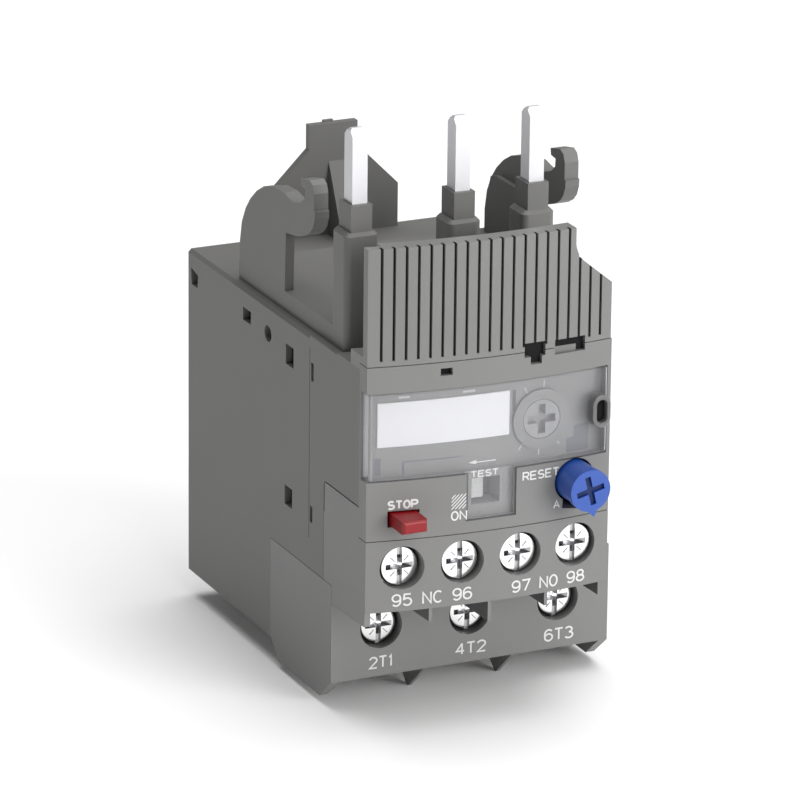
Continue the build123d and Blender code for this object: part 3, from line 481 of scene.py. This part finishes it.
# dark line as painted shade in the gap around the cover
coverGap = {"left": 0.3, "right": 37.4, "edge": 35.46, "tab": (15.0, 22.43), "tabLow": 28.36,
            "stroke": 0.11, "step": 1.5}
edge, (tabLeft, tabRight), tabLow = coverGap["edge"], coverGap["tab"], coverGap["tabLow"]
line = [(coverGap["left"], edge), (tabLeft, edge), (tabLeft, tabLow),
        (tabRight, tabLow), (tabRight, edge), (coverGap["right"], edge)]
fine = []
for start, end in zip(line, line[1:]):  # short steps so that the line follows the curve
    parts = max(1, round(abs(end[0] - start[0]) / coverGap["step"]))
    fine += [tuple(Vector(start).lerp(Vector(end), k / parts)) for k in range(parts)]
work = bmesh.new()
ribbon(work, fine + line[-1:], coverGap["stroke"], onFront(proud=ink["thinProud"]))
addMesh("coverGapLine", meshOf("coverGapLine", work), underCover["dark"], "case")

# Painted shade: dark plates on the ribs, and dark floors in openings

shelf = {"height": 35.39, "left": 30.6, "right": 33.8, "back": 1.95, "front": 0.1}  # above the knob's hole
corners = [place(x, frontDepth(x, inset), shelf["height"])
           for x, inset in rectangle(shelf["left"], shelf["right"], shelf["back"], shelf["front"])]
addMesh("knobShelf", plate("knobShelf", corners), materials["front_grey"], "case")

ribs = {  # painted shade: dark sheets on the left faces of the plates between the small terminals
    "faces": (9.483, 18.55, 27.617, 36.7), "drops": (2.1, 3.1, 2.1, 2.1), "under": 15.35, "back": 53.4,
    "inset": 0.3, "backFall": 0.45, "frontRise": 0.1, "aside": 0.02,
}
for index, (x, drop) in enumerate(zip(ribs["faces"], ribs["drops"])):
    front, under, back = frontDepth(x, ribs["inset"]), ribs["under"], ribs["back"]
    outline = [(back, under), (back, under - drop - ribs["backFall"]),
               (front, under - drop + ribs["frontRise"]), (front, under)]
    corners = [place(x - ribs["aside"], d, h) for d, h in outline]
    name = "ribShade%d" % index
    addMesh(name, plate(name, corners), ribShadeGrey, "case")

guard = {  # its slots and upper edge, where the slots' dark floors of painted shade lie
    "slots": 20, "first": 1.98, "lastFromRight": 1.91, "half": 0.2, "floor": 0.4,
    "low": 53.44, "lowOverNotch": 54.0, "notches": ((23.3, 27.2), (28.3, 33.7)),
    "top": 70.1, "shoulder": 31.7, "shoulderRise": 1.5, "short": 0.1,
    "slopeTop": (33.0, 65.1), "slopeEnd": (37.9, 61.1),
}
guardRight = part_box("grille_cover")[1][0] / mm + body["width"] / 2


def guardTop(x):  # where a slot's floor ends: level, then down the shoulder's slope
    if x < guard["shoulder"]:
        return guard["top"]
    (x0, h0), (x1, h1) = guard["slopeTop"], guard["slopeEnd"]
    return min(h0 + guard["shoulderRise"], h0 + (h1 - h0) * (x - x0) / (x1 - x0)) - guard["short"]


work = bmesh.new()
pitch = (guardRight - guard["lastFromRight"] - guard["first"]) / (guard["slots"] - 1)
for index in range(guard["slots"]):
    x = guard["first"] + pitch * index
    left, right = x - guard["half"], x + guard["half"]
    overNotch = any(start < x < end for start, end in guard["notches"])
    low = guard["lowOverNotch"] if overNotch else guard["low"]
    outline = [(left, low), (right, low), (right, guardTop(right)), (left, guardTop(left))]
    work.faces.new([work.verts.new(place(cx, frontDepth(cx, guard["floor"]), ch)) for cx, ch in outline])
addMesh("guardSlotFloors", meshOf("guardSlotFloors", work), recessDark, "case")

openings = {"notchInset": 0.75, "holeDepth": 1.0, "slitDepth": 0.6}  # how deep their dark floors of painted shade lie
notchFloors = {  # between guard and panel, in x and height
    "notchT": [(23.62, 51.85), (24.6, 51.85), (24.6, 50.7), (26.4, 50.7),
               (26.4, 51.85), (26.93, 51.85), (26.93, 53.92), (23.62, 53.92)],
    "notchWide": [(28.55, 52.6), (32.25, 52.6), (32.25, 51.65),
                  (33.45, 51.65), (33.45, 53.75), (28.55, 53.75)],
    "panelMark": rectangle(10.72, 12.48, 50.62, 51.68),
}
for name, outline in notchFloors.items():
    flatShape(name, outline, openings["notchInset"], recessDark)

holeFloors = {  # in both side panels, in depth and height
    "keyedHole": [(1.02, 48.75), (3.68, 48.18), (3.48, 46.22), (1.32, 46.22)],
    "midHole": rectangle(20.72, 23.58, 46.52, 48.48),
    "frontHole": rectangle(36.42, 39.18, 44.52, 47.58),
    "lowHole": rectangle(36.22, 38.88, 22.72, 25.68),
    "roundHole": bow(29.9, 47.1, 1.22, 1.22, 0, 345, 23),
}
sides = {"Left": openings["holeDepth"], "Right": body["width"] - openings["holeDepth"]}
for name, outline in holeFloors.items():
    for side, x in sides.items():
        mesh = plate(name + side, [place(x, d, h) for d, h in outline])
        addMesh(name + side, mesh, recessDark, "case")

doorSlits = (rectangle(45.47, 46.33, 44.72, 47.48), rectangle(45.32, 46.18, 22.97, 25.43))
for index, outline in enumerate(doorSlits):
    name = "doorSlit%d" % index
    mesh = plate(name, [place(openings["slitDepth"], d, h) for d, h in outline])
    addMesh(name, mesh, recessDark, "case")
print("marks and dark floors done")

# Sealing eye on the cover: a grey loop with a dark middle of painted shade in its hole

sealEye = {
    "x": 36.0, "height": 42.15, "rise": 1.32,  # rise of its face over the curved front
    "outer": (1.42, 2.47), "inner": (0.8, 1.75),  # half width and half height
    "outerRound": 0.15, "innerRound": 0.12, "roundDepth": 0.15, "depth": 1.9, "middleDepth": 1.0,
}


def capsule(reach, steps=10):  # upright slot outline with half width and half height
    straight = reach[1] - reach[0]
    upper = [(x, y + straight) for x, y in bow(0, 0, reach[0], reach[0], 0, 180, steps)]
    lower = [(x, y - straight) for x, y in bow(0, 0, reach[0], reach[0], 180, 360, steps)]
    return upper + lower


def eyeRow(reach, back, wider=0.0):  # outline at a depth behind the eye's face
    depth = frontDepth(sealEye["x"]) + sealEye["rise"] - back
    outline = capsule((reach[0] + wider, reach[1] + wider))
    return [place(sealEye["x"] + x, depth, sealEye["height"] + y) for x, y in outline]


outer, inner = sealEye["outer"], sealEye["inner"]
profile = [
    eyeRow(outer, sealEye["depth"]),
    eyeRow(outer, sealEye["roundDepth"]),
    eyeRow(outer, 0, -sealEye["outerRound"]),
    eyeRow(inner, 0, sealEye["innerRound"]),
    eyeRow(inner, sealEye["roundDepth"]),
    eyeRow(inner, sealEye["depth"]),
]
work = bmesh.new()
rows = [[work.verts.new(spot) for spot in row] for row in profile]
for near, far in zip(rows, rows[1:] + rows[:1]):
    for i in range(len(near)):
        j = (i + 1) % len(near)
        work.faces.new([near[i], near[j], far[j], far[i]])
bmesh.ops.recalc_face_normals(work, faces=work.faces)
addMesh("sealEyeLoop", meshOf("sealEyeLoop", work), sealEyeGrey, "cover")
eyeMiddle = plate("sealEyeMiddle", eyeRow(inner, sealEye["middleDepth"]))
addMesh("sealEyeMiddle", eyeMiddle, recessDark, "cover")

# Floor of the cross in the reset knob, darker blue as painted shade

knobCross = {"x": 32.2, "height": 32.0, "turn": 14, "reach": 2.15, "half": 0.4, "sunk": 0.45}
crossDepth = foremost("reset_knob") - knobCross["sunk"]
reach, half = knobCross["reach"], knobCross["half"]
spots = []
for quarter in range(4):
    turn = knobCross["turn"] + 90 * quarter
    along, across = ray(turn), ray(turn + 90)
    spots += [along * reach - across * half, along * reach + across * half, (along + across) * half]
corners = [place(knobCross["x"] + spot.x, crossDepth, knobCross["height"] + spot.y) for spot in spots]
addMesh("knobCrossFloor", plate("knobCrossFloor", corners), knobCrossBlue, "knob")
print("sealing eye and knob cross done")

# Terminal screws with rounded rims, a tapered cross, a through slot and four fine rays; near-black steel on
# the rims and darker steel in the crosses as painted shade

screwLook = {  # in mm
    "sides": 64, "dome": 0.12, "rimStep": 0.14, "rimDrop": 0.6,
    "armHalf": 0.4, "armReach": 2.2, "armDepth": 1.1, "armStagger": 0.01, "armFoot": (0.9, 0.28),
    "slotHalf": 0.42, "slotDepth": 0.5, "slotTaper": 0.04, "slotPast": (0.5, 0.4),
    "rays": (1.05, 2.0), "rayWidth": 0.1, "cutFrom": 1.0,
}
screwDome = ((0, 0), (0.45, 1 / 6), (0.75, 0.5))  # shares of the radius and of the dome's depth
screwKinds = {  # in mm, apart from the count
    "main": {"count": 3, "head": 2.0, "shank": 1.9, "rim": 0.42},
    "aux": {"count": 4, "head": 1.9, "shank": 1.5, "rim": 0.26},
}


def screwMesh(name, radius, length, sizes):
    # turned about -Y with the face at the origin
    look, head, shank, rim = screwLook, sizes["head"], sizes["shank"], sizes["rim"]
    profile = [(radius * out, look["dome"] * back) for out, back in screwDome] + [
        (radius - rim, look["dome"]), (radius - rim * 0.5, look["dome"] + look["rimStep"]),
        (radius, look["rimDrop"]), (radius, head), (shank, head), (shank, length), (0.0, length),
    ]
    rimShadeRows = range(len(screwDome), profile.index((shank, head)))  # rim, side and underside of the head, painted shade in near-black steel
    turns = [2 * math.pi * i / look["sides"] for i in range(look["sides"])]
    work = bmesh.new()
    rings = []
    for r, back in profile:
        around = turns if r else turns[:1]
        rings.append([work.verts.new((r * math.cos(t), back, r * math.sin(t))) for t in around])
    for row, (near, far) in enumerate(zip(rings, rings[1:])):
        for i in range(look["sides"]):
            j = (i + 1) % look["sides"]
            corners = [near[i % len(near)], near[j % len(near)], far[j % len(far)], far[i % len(far)]]
            face = work.faces.new(list(dict.fromkeys(corners)))
            face.material_index = 1 if row in rimShadeRows else 0
            face.smooth = True
    bmesh.ops.recalc_face_normals(work, faces=work.faces)
    mesh = meshOf(name, work)
    for material in (materials["bright_steel"], shadeRimAndRaySteel, crossShadeSteel):
        mesh.materials.append(material)
    return mesh


def cutter(name, top, foot, depth):
    # bar that sinks into the face and tapers from its top to its foot, given as half width and half height
    spots = []
    for back, (halfX, halfZ) in ((-screwLook["cutFrom"], top), (0.0, top), (depth, foot)):
        spots += [(x, back, z) for x, z in
                  ((halfX, halfZ), (-halfX, halfZ), (-halfX, -halfZ), (halfX, -halfZ))]
    faces = [(3, 2, 1, 0), (8, 9, 10, 11)]
    for row in (0, 4):
        faces += [(row + i, row + (i + 1) % 4, row + 4 + (i + 1) % 4, row + 4 + i) for i in range(4)]
    work = bmesh.new()
    verts = [work.verts.new(spot) for spot in spots]
    for face in faces:
        work.faces.new([verts[i] for i in face])
    bmesh.ops.recalc_face_normals(work, faces=work.faces)
    mesh = meshOf(name, work)
    mesh.materials.append(crossShadeSteel)
    return linked(name, mesh)


def cutHead(mesh, radius):
    look = screwLook
    half, reach = look["armHalf"], look["armReach"]
    footLong, footShort = look["armFoot"]
    pastTop, pastFoot = look["slotPast"]
    slotTop = (look["slotHalf"], radius + pastTop)
    slotFoot = (look["slotHalf"] - look["slotTaper"], radius + pastFoot)
    tools = [
        cutter("armsAcross", (reach, half), (footLong, footShort), look["armDepth"]),
        cutter("armsUp", (half, reach), (footShort, footLong), look["armDepth"] + look["armStagger"]),
        cutter("throughSlot", slotTop, slotFoot, look["slotDepth"]),
    ]
    holder = linked("screwBlank", mesh)
    for tool in tools:
        cut = holder.modifiers.new("cut", "BOOLEAN")
        cut.operation = "DIFFERENCE"
        cut.solver = "EXACT"
        cut.material_mode = "TRANSFER"
        cut.object = tool
    bpy.context.view_layer.update()
    shaped = bpy.data.meshes.new_from_object(holder.evaluated_get(bpy.context.evaluated_depsgraph_get()))
    for piece in [holder] + tools:
        bpy.data.objects.remove(piece)
    return shaped


def addRays(mesh):
    # four fine dark marks between the arms of the cross, a hair above the face
    inner, outer = screwLook["rays"]
    work = bmesh.new()
    work.from_mesh(mesh)
    for turn in (45, 135, 225, 315):
        along, side = ray(turn), ray(turn + 90) * screwLook["rayWidth"] / 2
        spots = [along * inner + side, along * inner - side, along * outer - side, along * outer + side]
        face = work.faces.new([work.verts.new((spot.x, 0.0, spot.y)) for spot in spots])
        face.material_index = 1
    work.to_mesh(mesh)
    work.free()


for kind, sizes in screwKinds.items():
    low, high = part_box(kind + "_screw_1")
    radius = (high[0] - low[0]) / 2 / mm
    length = (high[1] - low[1]) / mm
    blank = cutHead(screwMesh(kind + "Screw", radius, length, sizes), radius)
    addRays(blank)
    for number in range(1, sizes["count"] + 1):
        node = "%s_screw_%d" % (kind, number)
        low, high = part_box(node)
        middle = Vector(((low[0] + high[0]) / 2, low[1], (low[2] + high[2]) / 2))
        mesh = blank.copy()
        for v in mesh.vertices:
            v.co = middle + v.co * mm
        mesh.set_sharp_from_angle(angle=math.radians(sharpFrom["screws"]))
        piece = linked("%sScrewHead%d" % (kind, number), mesh)
        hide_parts(node)
        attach(piece, "screw_%s_%d" % (kind, number))
print("screws done")

# Coils copied from the springs and set on the case

springs = {  # held: where the end that stays lies on the axis, in mm; keep: share of length at the limit
    "stop_spring": {"joint": "stop_press", "axis": (0, 1, 0), "held": -20.95, "keep": 0.3},
    "reset_spring": {"joint": "reset_press", "axis": (0, 1, 0), "held": -20.95, "keep": 0.39},
    "snap_spring": {"joint": "carrier_lift", "axis": (0, 0, 1), "held": 43.8, "keep": 0.82},
}
for name, spring in springs.items():
    node = frame["nodes"][name]
    coil = linked(name.split("_")[0] + "Coil", node.data.copy())
    coil.matrix_world = node.matrix_world.copy()
    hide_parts(name)
    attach(coil, "case")
    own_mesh(coil)

# Wall that closes the rear housing beside the narrower front

stepWall = {"x": (38.15, 42.65), "height": (15.75, 49.8), "depth": 44.75, "border": 0.7, "sunk": 0.25}
corners = [place(x, stepWall["depth"], h) for x, h in rectangle(*stepWall["x"], *stepWall["height"])]
work = bmesh.new()
panel = work.faces.new([work.verts.new(corner) for corner in corners])
bmesh.ops.inset_region(work, faces=[panel], thickness=stepWall["border"] * mm, depth=-stepWall["sunk"] * mm)
addMesh("stepWall", meshOf("stepWall", work), materials["housing_grey"], "case")
print("springs and step wall done")

# Stage, light and camera

stage = {"floorSize": 6.0, "colour": (0.95, 0.95, 0.95), "spread": 0.01, "rough": 0.9, "glow": 0.03,
         "sky": 0.13}
half = stage["floorSize"] / 2
floor = linked("floor", plate("floor", [(x, y, 0) for x, y in rectangle(-half, half, -half, half)]))
paleFloor, nodes, links, shader = newMaterial("paleFloor")
shader.inputs["Roughness"].default_value = stage["rough"]
shader.inputs["Emission Strength"].default_value = stage["glow"]
mottle(nodes, links, shader, stage["colour"], stage["spread"], texture["floorCloud"])
floor.data.materials.append(paleFloor)

world = bpy.data.worlds.new("studio")
world.use_nodes = True
sky = world.node_tree.nodes["Background"]
sky.inputs["Color"].default_value = (1, 1, 1, 1)
sky.inputs["Strength"].default_value = stage["sky"]
bpy.context.scene.world = world

lamps = {  # places and sizes in metres, power in watts
    "keyFrontRight": {"spot": (0.6, -1.2, 0.36), "aim": (0, 0, 0.04), "size": 0.9, "power": 14.5},
    "fillHigh": {"spot": (0.15, -0.85, 1.0), "aim": (0, 0, 0.05), "size": 0.8, "power": 3.5},
    "topSoft": {"spot": (0.15, 0.1, 1.35), "aim": (0, 0, 0.04), "size": 1.6, "power": 20},
}
for name, light in lamps.items():
    lamp = bpy.data.lights.new(name, "AREA")
    lamp.shape = "DISK"
    lamp.size = light["size"]
    lamp.energy = light["power"]
    holder = linked(name, lamp)
    holder.location = light["spot"]
    towards = Vector(light["aim"]) - Vector(light["spot"])
    holder.rotation_euler = towards.to_track_quat("-Z", "Y").to_euler()

view = {  # the photo's camera, fitted to measured points
    "spot": (-0.3641835, -0.7714372, 0.3340657),
    "right": (0.907535, -0.419842, 0.010591),
    "up": (0.127852, 0.300211, 0.945266),
    "back": (-0.400042, -0.856508, 0.326130),
    "lens": 274.594,
    "sensor": 36,
    "clip": (0.05, 20),
}
camera = bpy.data.cameras.new("photoCamera")
camera.lens = view["lens"]
camera.sensor_width = view["sensor"]
camera.clip_start, camera.clip_end = view["clip"]
cameraHolder = linked("photoCamera", camera)
turned = Matrix((view["right"], view["up"], view["back"])).transposed().to_4x4()
cameraHolder.matrix_world = Matrix.Translation(Vector(view["spot"])) @ turned
bpy.context.scene.camera = cameraHolder
bpy.context.scene.view_settings.view_transform = "Standard"
print("stage, lights and camera ready")
